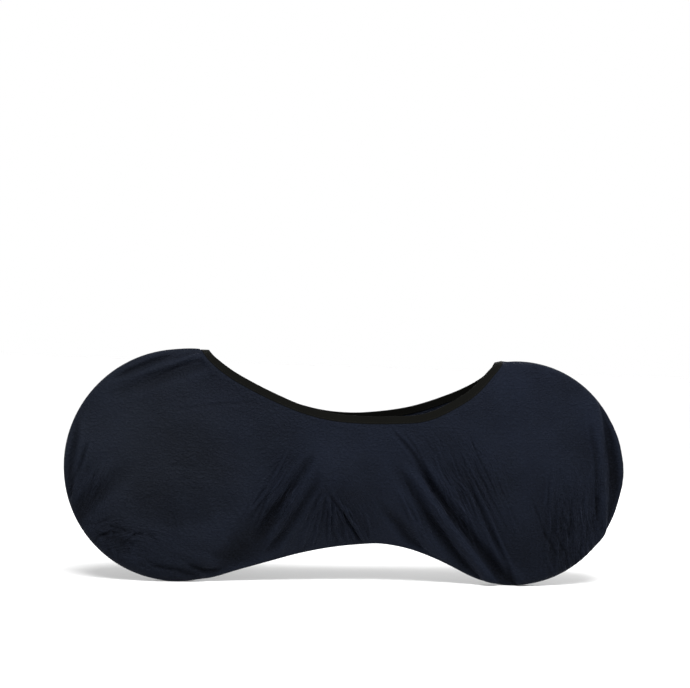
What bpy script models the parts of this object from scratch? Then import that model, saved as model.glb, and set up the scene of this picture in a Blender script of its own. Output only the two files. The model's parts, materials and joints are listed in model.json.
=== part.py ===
"""A stretch-knit cover for a bicycle's wheels and drivetrain, as it sits stretched on a bicycle.

Two side panels are sewn to each other round both wheels and along the waist between them, and a
folded elastic band is sewn over the edge of the opening. +X points to the rear wheel, +Z up, and
-Y is the bicycle's left side. Z = 0 is the floor under both wheels.
"""

import math

import bmesh
import bpy
import numpy as np

# Driving dimensions, in metres.
COVERED_RADIUS = 0.346  # a wheel with its tyre and the cloth on it
WHEELBASE = 1.038
TYRE_HALF = 0.026  # half of a tyre's width, which the cloth is bent round
CLOTH = 0.0012
GAP = 0.0003  # between sewn pieces
BAND_WIDTH = 0.024
BAND_WALL = 0.0009
BAND_FOOT = BAND_WIDTH + 0.002  # the cloth keeps the band's slope a little past its lower edge
CROWN_RISE = 0.006  # the cloth bridges from the front tyre's top to the fork's crown
CROWN_FADE = (78, 97)  # and does so between these angles, in degrees round the wheel
REAR_END_SLOPE = 0.24  # the opening's rear end lies on the rear wheel's slope
REAR_END_SPAN = (0.20, 0.43)  # where along X the band comes to that slope
WIDEST_ROUNDING = 0.044  # of the cloth over a support's edge

# Where the seam leaves and meets each wheel, as angles round the wheel from +X towards +Z.
FRONT_ARC = (77.8, 280.0)
REAR_ARC = (243.0, 464.0)

# The waist: the seam's free run between the wheels.
WAIST_COLUMNS = ("x", "z")
WAIST = (
    (-0.420, 0.0115),
    (-0.330, 0.0380),
    (-0.240, 0.0640),
    (-0.150, 0.0890),
    (-0.060, 0.1075),
    (0.030, 0.1185),
    (0.095, 0.1220),
    (0.160, 0.1140),
    (0.290, 0.0720),
)

# The opening's upper edge on each side: where it runs, how far out it stands, and how far the
# cloth there leans back from upright.
OPENING_COLUMNS = ("x", "z", "half_width", "lean_deg")
OPENING = {
    "left": (
        (-0.447, 0.6905, 0.000, 90),
        (-0.447, 0.6888, 0.012, 75),
        (-0.444, 0.6835, 0.025, 58),
        (-0.436, 0.6740, 0.038, 42),
        (-0.418, 0.6590, 0.051, 27),
        (-0.377, 0.6310, 0.059, 18),
        (-0.334, 0.6080, 0.063, 15),
        (-0.250, 0.5690, 0.069, 15),
        (-0.166, 0.5370, 0.075, 17),
        (-0.088, 0.5190, 0.079, 19),
        (0.010, 0.5120, 0.082, 19),
        (0.100, 0.5140, 0.084, 17),
        (0.198, 0.5240, 0.082, 14),
        (0.293, 0.5660, 0.070, 13),
        (0.348, 0.6010, 0.058, 15),
        (0.383, 0.6335, 0.047, 22),
        (0.406, 0.6570, 0.036, 34),
        (0.424, 0.6728, 0.026, 48),
        (0.435, 0.6812, 0.013, 68),
        (0.437, 0.6838, 0.000, 90),
    ),
    "right": (
        (-0.447, 0.6905, 0.000, 90),
        (-0.447, 0.6888, 0.012, 75),
        (-0.444, 0.6835, 0.025, 58),
        (-0.437, 0.6740, 0.038, 42),
        (-0.421, 0.6600, 0.051, 27),
        (-0.380, 0.6330, 0.059, 18),
        (-0.334, 0.6090, 0.063, 15),
        (-0.250, 0.5710, 0.069, 15),
        (-0.166, 0.5400, 0.075, 15),
        (-0.088, 0.5220, 0.079, 15),
        (0.010, 0.5150, 0.082, 15),
        (0.100, 0.5220, 0.084, 17),
        (0.198, 0.5400, 0.082, 17),
        (0.293, 0.5730, 0.070, 15),
        (0.352, 0.6000, 0.058, 16),
        (0.397, 0.6270, 0.046, 22),
        (0.422, 0.6480, 0.036, 32),
        (0.434, 0.6650, 0.025, 48),
        (0.438, 0.6790, 0.012, 68),
        (0.437, 0.6838, 0.000, 90),
    ),
}

# What the cloth is stretched over, seen from the side: round-ended bars.
SUPPORT_COLUMNS = ("x0", "z0", "x1", "z1", "half_width0", "half_width1", "radius")
SUPPORTS = {
    "left": {
        "front_axle": (-0.519, 0.346, -0.519, 0.346, 0.062, 0.062, 0.020),
        "fork_leg": (-0.517, 0.370, -0.452, 0.660, 0.058, 0.052, 0.016),
        "rear_axle": (0.519, 0.346, 0.519, 0.346, 0.072, 0.072, 0.022),
        "seat_stay": (0.515, 0.370, 0.340, 0.590, 0.064, 0.045, 0.016),
        "chain_stay": (0.510, 0.340, 0.140, 0.295, 0.064, 0.060, 0.016),
        "crank": (0.132, 0.300, -0.050, 0.318, 0.078, 0.092, 0.024),
        "pedal": (-0.095, 0.324, -0.030, 0.318, 0.116, 0.112, 0.044),
    },
    "right": {
        "front_axle": (-0.519, 0.346, -0.519, 0.346, 0.062, 0.062, 0.020),
        "fork_leg": (-0.517, 0.370, -0.452, 0.660, 0.058, 0.052, 0.016),
        "rear_axle": (0.519, 0.346, 0.519, 0.346, 0.072, 0.072, 0.022),
        "gear_changer": (0.519, 0.330, 0.500, 0.240, 0.078, 0.070, 0.024),
        "seat_stay": (0.515, 0.370, 0.340, 0.590, 0.064, 0.045, 0.016),
        "chain_wheel": (0.132, 0.300, 0.132, 0.300, 0.066, 0.066, 0.085),
        "crank": (0.132, 0.300, 0.295, 0.275, 0.078, 0.092, 0.024),
        "pedal": (0.270, 0.270, 0.335, 0.272, 0.112, 0.116, 0.044),
    },
}

# The main folds, seen from the side: a trough has a depth below zero and a ridge one above it.
FOLD_COLUMNS = ("x0", "z0", "x1", "z1", "width", "depth")
FOLDS = {
    "left": (
        (0.081, 0.470, 0.461, 0.050, 0.022, -0.007),
        (0.150, 0.440, 0.500, 0.060, 0.026, 0.005),
        (0.103, 0.343, 0.392, 0.045, 0.020, -0.006),
        (0.120, 0.370, 0.425, 0.050, 0.016, 0.004),
        (0.066, 0.264, 0.201, 0.122, 0.018, -0.005),
        (0.354, 0.334, 0.509, 0.037, 0.014, -0.003),
        (-0.138, 0.383, -0.285, 0.134, 0.020, -0.004),
        (-0.112, 0.318, -0.240, 0.125, 0.016, -0.004),
        (-0.050, 0.262, 0.023, 0.132, 0.012, -0.003),
        (-0.823, 0.481, -0.848, 0.295, 0.012, -0.003),
        (0.822, 0.449, 0.826, 0.200, 0.012, -0.004),
        (-0.662, 0.622, -0.554, 0.679, 0.012, -0.002),
    ),
    "right": (
        (0.081, 0.430, -0.150, 0.110, 0.024, -0.005),
        (0.215, 0.250, 0.110, 0.130, 0.018, -0.005),
        (0.330, 0.220, 0.440, 0.050, 0.020, -0.005),
        (0.390, 0.300, 0.560, 0.050, 0.016, -0.003),
        (-0.060, 0.400, -0.320, 0.070, 0.022, -0.006),
        (-0.822, 0.440, -0.826, 0.240, 0.012, -0.003),
        (0.823, 0.470, 0.838, 0.280, 0.012, -0.003),
    ),
}

# The panels' mesh: stations run along the seam and the opening together, and rows across.
SHARE_COLUMNS = ("station", "opening", "seam")
SHARES = (
    (0.00, 0.000, 0.00),
    (0.13, 0.085, 0.17),
    (0.33, 0.310, 0.36),
    (0.67, 0.670, 0.61),
    (0.86, 0.915, 0.83),
    (1.00, 1.000, 1.00),
)
STATIONS = 88
CREST_ANGLES = (0, 22, 44, 66)  # the rows bent round a tyre
OPEN_ROWS = 11
BAND_ROWS = 1
FAN_REACH = 0.10  # nearer the opening's ends than this, the crest's rows draw together
OFF_TYRE = 0.0008  # the seam is on a tyre's crest where it is no farther off than this
ARC_POINTS = 90
FOLD_FADE = 0.6
STRETCH_PASSES = 3000

KNIT_COLOUR = (0.0130, 0.0160, 0.0280, 1.0)
BAND_COLOUR = (0.0085, 0.0085, 0.0080, 1.0)


def smoothstep(low, high, value):
    t = np.clip((value - low) / (high - low), 0.0, 1.0)
    return t * t * (3 - 2 * t)


def unit(vectors):
    return vectors / np.linalg.norm(vectors, axis=-1, keepdims=True)


def hermite(t, start, leave, end, arrive):
    """A curve from start to end that leaves and arrives along the two given vectors."""
    return (
        (2 * t**3 - 3 * t**2 + 1) * start
        + (t**3 - 2 * t**2 + t) * leave
        + (3 * t**2 - 2 * t**3) * end
        + (t**3 - t**2) * arrive
    )


def smooth_path(rows, places, steps=16):
    """A smooth path through the rows, of which the first columns, as many as places, are positions."""
    rows = np.array(rows, float)
    span = np.linalg.norm(np.diff(rows[:, :places], axis=0), axis=1)[:, None]
    slope = np.diff(rows, axis=0) / span
    between = (slope[:-1] * span[1:] + slope[1:] * span[:-1]) / (span[:-1] + span[1:])
    tangent = np.vstack([slope[:1], between, slope[-1:]])
    t = np.linspace(0, 1, steps, endpoint=False)[None, :, None]
    leave = (tangent[:-1] * span)[:, None]
    arrive = (tangent[1:] * span)[:, None]
    curve = hermite(t, rows[:-1, None], leave, rows[1:, None], arrive)
    return np.vstack([curve.reshape(-1, rows.shape[1]), rows[-1:]])


def run_along(path, places):
    """How far each row of a path is from its start."""
    return np.concatenate([[0], np.cumsum(np.linalg.norm(np.diff(path[:, :places], axis=0), axis=1))])


def at_shares(path, places, shares):
    """The path's rows at these shares of its length."""
    run = run_along(path, places)
    return np.stack([np.interp(shares * run[-1], run, column) for column in path.T], axis=-1)


def out_sign(side):
    return -1 if side == "left" else 1


def wheel_arc(centre_x, degrees):
    """The seam round a wheel, with the front one's rise to the fork's crown."""
    angles = np.radians(np.linspace(*degrees, ARC_POINTS))
    rise = CROWN_RISE * (1 - smoothstep(*np.radians(CROWN_FADE), angles))
    radius = COVERED_RADIUS - CLOTH / 2 + rise
    return np.stack(
        [centre_x + radius * np.cos(angles), COVERED_RADIUS + radius * np.sin(angles)], axis=1
    )


def seam_path():
    """The seam in the middle plane, from the opening's front end round to its rear end."""
    front = wheel_arc(-WHEELBASE / 2, FRONT_ARC)
    rear = wheel_arc(WHEELBASE / 2, REAR_ARC)
    waist = smooth_path([*front[-2:], *WAIST, *rear[:2]], 2)
    return np.vstack([front[:-2], waist, rear[2:]])


def station_shares():
    """Each station's share of the opening's edge, and its share of the seam."""
    table = smooth_path(SHARES, 1)
    station = np.linspace(0, 1, STATIONS + 1)
    return tuple(np.interp(station, table[:, 0], table[:, column]) for column in (1, 2))


def opening_frames(side):
    """For each station of the opening's edge: its place, the way down the cloth and out of it."""
    sign = out_sign(side)
    opening_share, _ = station_shares()
    x, z, half_width, lean = at_shares(smooth_path(OPENING[side], 3), 3, opening_share).T
    edge = np.stack([x, sign * half_width, z], axis=1)
    tangent = unit(np.gradient(edge, axis=0))
    tangent[0] = (0, sign, 0)
    tangent[-1] = (0, -sign, 0)
    forward = REAR_END_SLOPE * smoothstep(*REAR_END_SPAN, x)
    up = unit(np.stack([-forward, 0 * x, 1 + 0 * x], axis=1))
    lean = np.radians(lean)[:, None]
    out = np.sin(lean) * up + np.cos(lean) * np.array([0, sign, 0])
    out = unit(out - (out * tangent).sum(axis=1, keepdims=True) * tangent)
    down = sign * np.cross(out, tangent)
    return edge, down, out


def bar_half_width(x, z, bar):
    """How far out a round-ended bar holds the cloth at each place, and 0 beyond its sides."""
    x0, z0, x1, z1, half0, half1, radius = bar
    length2 = max((x1 - x0) ** 2 + (z1 - z0) ** 2, 1e-9)
    t = np.clip(((x - x0) * (x1 - x0) + (z - z0) * (z1 - z0)) / length2, 0, 1)
    away = np.hypot(x - x0 - t * (x1 - x0), z - z0 - t * (z1 - z0))
    crown = min(radius, WIDEST_ROUNDING)
    past = np.clip(away - radius + crown, 0, crown)
    fall = crown - np.sqrt(crown**2 - past**2)
    return np.where(away < radius, half0 + t * (half1 - half0) - fall, 0)


def tyre_half_width(x, z):
    """The same for both tyres, which are rings of round section."""
    half = np.zeros_like(x)
    for centre_x in (-WHEELBASE / 2, WHEELBASE / 2):
        off = np.hypot(x - centre_x, z - COVERED_RADIUS) - (COVERED_RADIUS - TYRE_HALF)
        half = np.maximum(half, np.sqrt(np.maximum(TYRE_HALF**2 - off**2, 0)))
    return half


def stretch(points, held, side):
    """Pulls the sheet taut: a free point goes to its neighbours' middle, but not inside a support."""
    sign = out_sign(side)
    free = ~held[1:-1, 1:-1]
    for _ in range(STRETCH_PASSES):
        around = points[:-2, 1:-1] + points[2:, 1:-1] + points[1:-1, :-2] + points[1:-1, 2:]
        points[1:-1, 1:-1][free] = around[free] / 4
        x, z = points[..., 0], points[..., 2]
        half = tyre_half_width(x, z)
        for bar in SUPPORTS[side].values():
            half = np.maximum(half, bar_half_width(x, z, bar))
        carried = sign * np.maximum(sign * points[..., 1], half)
        points[..., 1] = np.where(held, points[..., 1], carried)
    return points


def crease(points, side):
    """Presses the main folds into the sheet along its own normals, clear of the seam and the band."""
    normal = unit(np.cross(np.gradient(points, axis=0), np.gradient(points, axis=1)) + 1e-12)
    normal *= np.where(normal[..., 1:2] * out_sign(side) < 0, -1, 1)
    x, z = points[..., 0], points[..., 2]
    push = np.zeros_like(x)
    for x0, z0, x1, z1, width, depth in FOLDS[side]:
        length = math.hypot(x1 - x0, z1 - z0)
        t = ((x - x0) * (x1 - x0) + (z - z0) * (z1 - z0)) / length**2
        away = ((x - x0) * (z1 - z0) - (z - z0) * (x1 - x0)) / length
        fade = np.sin(np.pi * np.clip(t, 0, 1)) ** FOLD_FADE
        push += depth * fade * np.exp(-((away / width) ** 2))
    share = np.ones(points.shape[1])
    share[:2] = 0, 0.4
    share[-BAND_ROWS - 2 :] = 0.5, *[0] * (BAND_ROWS + 1)
    return points + normal * (push * share)[..., None]


def seam_root(foot):
    """Each station's place on the seam. The first and the last are the band's lower corners."""
    seam = seam_path()
    margin = BAND_FOOT / run_along(seam, 2)[-1]
    _, seam_share = station_shares()
    x, z = at_shares(seam, 2, margin + seam_share * (1 - 2 * margin)).T
    root = np.stack([x, 0 * x, z], axis=1)
    root[[0, -1]] = foot[[0, -1]]
    return root


def crest_rows(root, inward, reach, side):
    """Rows bent round a tyre from its crest; near the opening's ends they draw together."""
    outward = np.array([0, out_sign(side), 0])
    for angle in np.radians(CREST_ANGLES):
        bend = angle * reach[:, None]
        yield root + TYRE_HALF * (inward * (1 - np.cos(bend)) + outward * np.sin(bend))


def panel_points(side):
    """The side panel's middle surface: stations by rows, from the seam to the opening."""
    edge, down, _ = opening_frames(side)
    foot = edge + down * BAND_FOOT
    root = seam_root(foot)
    run = unit(np.gradient(root, axis=0))
    inward = np.stack([-run[:, 2], 0 * run[:, 0], run[:, 0]], axis=1)
    reach = np.clip(np.linalg.norm(foot - root, axis=1) / FAN_REACH, 0, 1)

    rows = list(crest_rows(root, inward, reach, side))
    crest = rows[-1]
    pull = np.linalg.norm(foot - crest, axis=1, keepdims=True)
    for t in np.linspace(0, 1, OPEN_ROWS + 1)[1:]:
        rows.append(hermite(t, crest, inward * pull, foot, -down * pull))
    for depth in np.linspace(BAND_FOOT, BAND_WALL + 2 * GAP, BAND_ROWS + 1)[1:]:
        rows.append(edge + down * depth)
    points = np.stack(rows, axis=1)

    held = np.zeros(points.shape[:2], bool)
    held[:, 0] = True
    held[:, -BAND_ROWS - 1 :] = True
    held[[0, -1]] = True
    hub_x = np.sign(root[:, 0]) * WHEELBASE / 2
    off_rim = np.hypot(root[:, 0] - hub_x, root[:, 2] - COVERED_RADIUS) - COVERED_RADIUS
    on_tyre = (np.abs(off_rim + CLOTH / 2) < OFF_TYRE) & (reach == 1)
    held[on_tyre, : len(CREST_ANGLES)] = True
    return clear_of_middle(crease(stretch(points, held, side), side), side)


def clear_of_middle(points, side):
    """Keeps the panel off the middle plane by half the gap and by what its thickness leans over it."""
    sign = out_sign(side)
    leaving = unit(points[:, 1] - points[:, 0] + 1e-12)
    lean = np.linalg.norm(leaving[:, [0, 2]], axis=1)
    clear = GAP / 2 + CLOTH / 2 * lean[:, None]
    points[..., 1] = sign * np.maximum(sign * points[..., 1], clear)
    return points


def grid_object(name, points, material):
    """A mesh of a grid of points, with those that fall together merged."""
    columns, rows = points.shape[:2]
    grid = bmesh.new()
    bmesh.ops.create_grid(grid, x_segments=columns - 1, y_segments=rows - 1, size=1)
    step = np.array([2 / (columns - 1), 2 / (rows - 1)])
    for vertex in grid.verts:
        column, row = np.rint((np.array(vertex.co.xy) + 1) / step).astype(int)
        vertex.co = points[column, row]
    bmesh.ops.triangulate(grid, faces=grid.faces[:], quad_method="SHORT_EDGE")
    bmesh.ops.remove_doubles(grid, verts=grid.verts[:], dist=1e-6)
    bmesh.ops.recalc_face_normals(grid, faces=grid.faces[:])
    mesh = bpy.data.meshes.new(name)
    grid.to_mesh(mesh)
    grid.free()
    mesh.materials.append(material)
    mesh.shade_smooth()
    return bpy.data.objects.new(name, mesh)


def make_material(name, colour, roughness):
    material = bpy.data.materials.new(name)
    material.use_nodes = True
    shader = material.node_tree.nodes["Principled BSDF"]
    shader.inputs["Base Color"].default_value = colour
    shader.inputs["Roughness"].default_value = roughness
    shader.inputs["Metallic"].default_value = 0.0
    return material


def make_panel(side, material):
    panel = grid_object(f"side_panel_{side}", panel_points(side), material)
    thickness = panel.modifiers.new("cloth", "SOLIDIFY")
    thickness.thickness = CLOTH
    thickness.offset = 0
    return panel


def make_band(material):
    """The elastic, folded over the cloth's edge all round the opening."""
    groove = CLOTH / 2 + GAP
    face = groove + BAND_WALL
    section = np.array(
        [
            (BAND_WIDTH, groove),
            (BAND_WIDTH, face),
            (BAND_WALL, face),
            (0, face / 2),
            (0, -face / 2),
            (BAND_WALL, -face),
            (BAND_WIDTH, -face),
            (BAND_WIDTH, -groove),
            (BAND_WALL + GAP, -groove),
            (BAND_WALL + GAP, groove),
            (BAND_WIDTH, groove),
        ]
    )
    left = opening_frames("left")
    back = [part[::-1][1:] for part in opening_frames("right")]
    edge, down, out = (np.vstack(pair)[:, None] for pair in zip(left, back))
    points = edge + down * section[:, :1] + out * section[:, 1:]
    return grid_object("opening_band", points, material)


def main():
    for item in list(bpy.data.objects):
        bpy.data.objects.remove(item, do_unlink=True)
    collection = bpy.data.collections.new("bicycle_cover")
    bpy.context.scene.collection.children.link(collection)
    knit = make_material("knit", KNIT_COLOUR, 0.75)
    elastic = make_material("elastic", BAND_COLOUR, 0.85)
    for side in ("left", "right"):
        collection.objects.link(make_panel(side, knit))
    collection.objects.link(make_band(elastic))


main()
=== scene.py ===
"""The finished look of a stretch-knit bicycle cover, laid out as an add-on.

The side panels are thin sheets with their folds and wrinkles, the opening has its folded elastic
and the sewing through it, and the stage is a pale floor with soft lights. The cover has a round
lobe at its front and one at its rear, and a waist between them. +X points to the rear, -Y is the
cover's left side and Z = 0 is the floor under it. Lengths are in metres, and in millimetres in the
tables whose comment says so, which from_mm reads.
"""

import json
import math

import bmesh
import bpy
import numpy as np
from bpy.props import FloatProperty, FloatVectorProperty, PointerProperty
from mathutils import Matrix, Vector

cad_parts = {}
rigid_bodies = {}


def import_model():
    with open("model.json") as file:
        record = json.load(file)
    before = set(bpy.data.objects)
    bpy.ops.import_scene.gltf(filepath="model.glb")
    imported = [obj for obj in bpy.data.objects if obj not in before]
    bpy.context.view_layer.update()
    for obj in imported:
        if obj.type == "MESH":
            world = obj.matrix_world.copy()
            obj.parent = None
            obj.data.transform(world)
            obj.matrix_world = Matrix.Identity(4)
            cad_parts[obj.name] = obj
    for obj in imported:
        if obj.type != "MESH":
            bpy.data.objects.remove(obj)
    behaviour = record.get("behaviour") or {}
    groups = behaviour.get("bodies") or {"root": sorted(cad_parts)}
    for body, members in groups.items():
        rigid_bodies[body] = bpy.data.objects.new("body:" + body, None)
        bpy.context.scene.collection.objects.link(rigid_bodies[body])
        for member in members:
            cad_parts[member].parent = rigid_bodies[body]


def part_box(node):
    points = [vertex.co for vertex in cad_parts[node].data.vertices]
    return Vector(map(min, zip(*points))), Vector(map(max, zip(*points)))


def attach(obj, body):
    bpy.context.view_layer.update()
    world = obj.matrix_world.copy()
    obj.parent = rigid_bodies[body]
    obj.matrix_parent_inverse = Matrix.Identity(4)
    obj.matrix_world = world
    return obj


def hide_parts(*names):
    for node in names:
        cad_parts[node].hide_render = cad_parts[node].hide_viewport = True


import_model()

bl_info = {
    "name": "Bicycle cover",
    "version": (1, 0, 0),
    "blender": (4, 5, 0),
    "location": "View3D > Sidebar > Bicycle cover",
    "description": "Makes a stretch-knit bicycle cover with its folds, elastic and sewing",
    "category": "Object",
}

SIDES = ("left", "right")
SEED = 7

# The construction, which the solids share.
LOBE_SPACING = 1.038  # between the lobes' middles
LOBE_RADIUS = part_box("side_panel_left")[1].x - LOBE_SPACING / 2
RIM_HALF = 0.026  # half of a lobe's width at its rim, round which the cloth is bent
GAP = 0.0003  # between sewn pieces
SEAM_GAP = 0.0001  # between the panels' turned-in edges
SEAM_LEAN = 0.003  # how far those are pressed to one side
ALLOWANCE_ROWS = (1.0, 0.55, 0.18)  # as shares of the allowance, from the cut edge to the seam
BAND_WALL = 0.0009
CLOTH_IN_BAND = 0.0012  # the cloth's thickness where the band grips it
FOOT_PAST_BAND = 0.002  # the cloth keeps the band's slope a little past its lower edge
FRONT_RISE = 0.006  # the front lobe's top rises to the opening
RISE_FADE = (78, 97)  # between these angles, in degrees round the lobe
REAR_END_SLOPE = 0.24  # the opening's rear end lies on the rear lobe's slope
REAR_END_SPAN = (0.20, 0.43)  # where along X the band comes to that slope
WIDEST_ROUNDING = 0.044  # of the cloth over a support's edge
FRONT_ARC = (77.8, 280.0)  # where the seam leaves and meets each lobe, in degrees from +X to +Z
REAR_ARC = (243.0, 464.0)
ARC_POINTS = 180
PATH_STEPS = 16  # points of a smooth path for each row of its table

# The waist, which is the seam's free run between the lobes: x and z in millimetres.
WAIST = (
    (-420, 11.5),
    (-330, 38),
    (-240, 64),
    (-150, 89),
    (-60, 107.5),
    (30, 118.5),
    (95, 122),
    (160, 114),
    (290, 72),
)

# The opening's upper edge: its x, its z and how far out it stands, in millimetres, and then the
# cloth's lean from upright in degrees.
OPENING = {
    "left": (
        (-447, 690.5, 0, 90),
        (-447, 688.8, 12, 75),
        (-444, 683.5, 25, 58),
        (-436, 674, 38, 42),
        (-418, 659, 51, 27),
        (-377, 631, 59, 18),
        (-334, 608, 63, 15),
        (-250, 569, 69, 15),
        (-166, 537, 75, 17),
        (-88, 519, 79, 19),
        (10, 512, 82, 19),
        (100, 514, 84, 17),
        (198, 524, 82, 14),
        (293, 566, 70, 13),
        (348, 601, 58, 15),
        (383, 633.5, 47, 22),
        (406, 657, 36, 34),
        (424, 672.8, 26, 48),
        (435, 681.2, 13, 68),
        (437, 683.8, 0, 90),
    ),
    "right": (
        (-447, 690.5, 0, 90),
        (-447, 688.8, 12, 75),
        (-444, 683.5, 25, 58),
        (-437, 674, 38, 42),
        (-421, 660, 51, 27),
        (-380, 633, 59, 18),
        (-334, 609, 63, 15),
        (-250, 571, 69, 15),
        (-166, 540, 75, 15),
        (-88, 522, 79, 15),
        (10, 515, 82, 15),
        (100, 522, 84, 17),
        (198, 540, 82, 17),
        (293, 573, 70, 15),
        (352, 600, 58, 16),
        (397, 627, 46, 22),
        (422, 648, 36, 32),
        (434, 665, 25, 48),
        (438, 679, 12, 68),
        (437, 683.8, 0, 90),
    ),
}

# What the cloth is stretched over, seen from the side: round-ended bars. Columns, in millimetres:
# x0, z0, x1, z1, half_width0, half_width1, radius.
SUPPORTS_OF_BOTH = (
    (-519, 346, -519, 346, 62, 62, 20),  # the front lobe's middle
    (-517, 370, -452, 660, 58, 52, 16),  # and from there up to the opening
    (519, 346, 519, 346, 72, 72, 22),  # the rear lobe's middle
    (515, 370, 340, 590, 64, 45, 16),  # and from there up to the opening
)
SUPPORTS = {
    "left": (
        *SUPPORTS_OF_BOTH,
        (510, 340, 140, 295, 64, 60, 16),  # from the rear lobe's middle forward
        (132, 300, -50, 318, 78, 92, 24),  # the middle bulge
        (-95, 324, -30, 318, 116, 112, 44),  # and its peak
    ),
    "right": (
        *SUPPORTS_OF_BOTH,
        (519, 330, 500, 240, 78, 70, 24),  # below the rear lobe's middle
        (132, 300, 132, 300, 66, 66, 85),  # the round bulge above the waist
        (132, 300, 295, 275, 78, 92, 24),  # the middle bulge
        (270, 270, 335, 272, 112, 116, 44),  # and its peak
    ),
}

# The panels' grid: stations run along the seam and the opening together, and rows across. Each row
# of this table gives a station, and its share of the opening's edge and of the seam.
SHARES = (
    (0.00, 0.000, 0.00),
    (0.13, 0.085, 0.17),
    (0.33, 0.310, 0.36),
    (0.67, 0.670, 0.61),
    (0.86, 0.915, 0.83),
    (1.00, 1.000, 1.00),
)
CREST_ANGLES = (0, 22, 44, 66)  # the rows bent round a lobe's rim
LAST_CREST = len(CREST_ANGLES) - 1
OPEN_ROWS = 11  # from there to the band's lower edge
FOOT_ROW = LAST_CREST + OPEN_ROWS
TOP_ROW = FOOT_ROW + 1
CREST_REACH = 0.10  # nearer the opening's ends than this, the crest's rows draw together
OFF_RIM = 0.0008  # the seam is on a lobe's rim where it is no farther off than this
# The grid's levels: stations, the crest's, open and band's rows for each coarse one, and passes.
LEVELS = (
    (88, 1, 1, 1, 3000),
    (176, 1, 2, 1, 900),
    (352, 2, 4, 2, 350),
    (780, 2, 8, 3, 110),
)
SOFT_PASSES = 90  # the last passes, without the supports, because cloth rounds their edges

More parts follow.
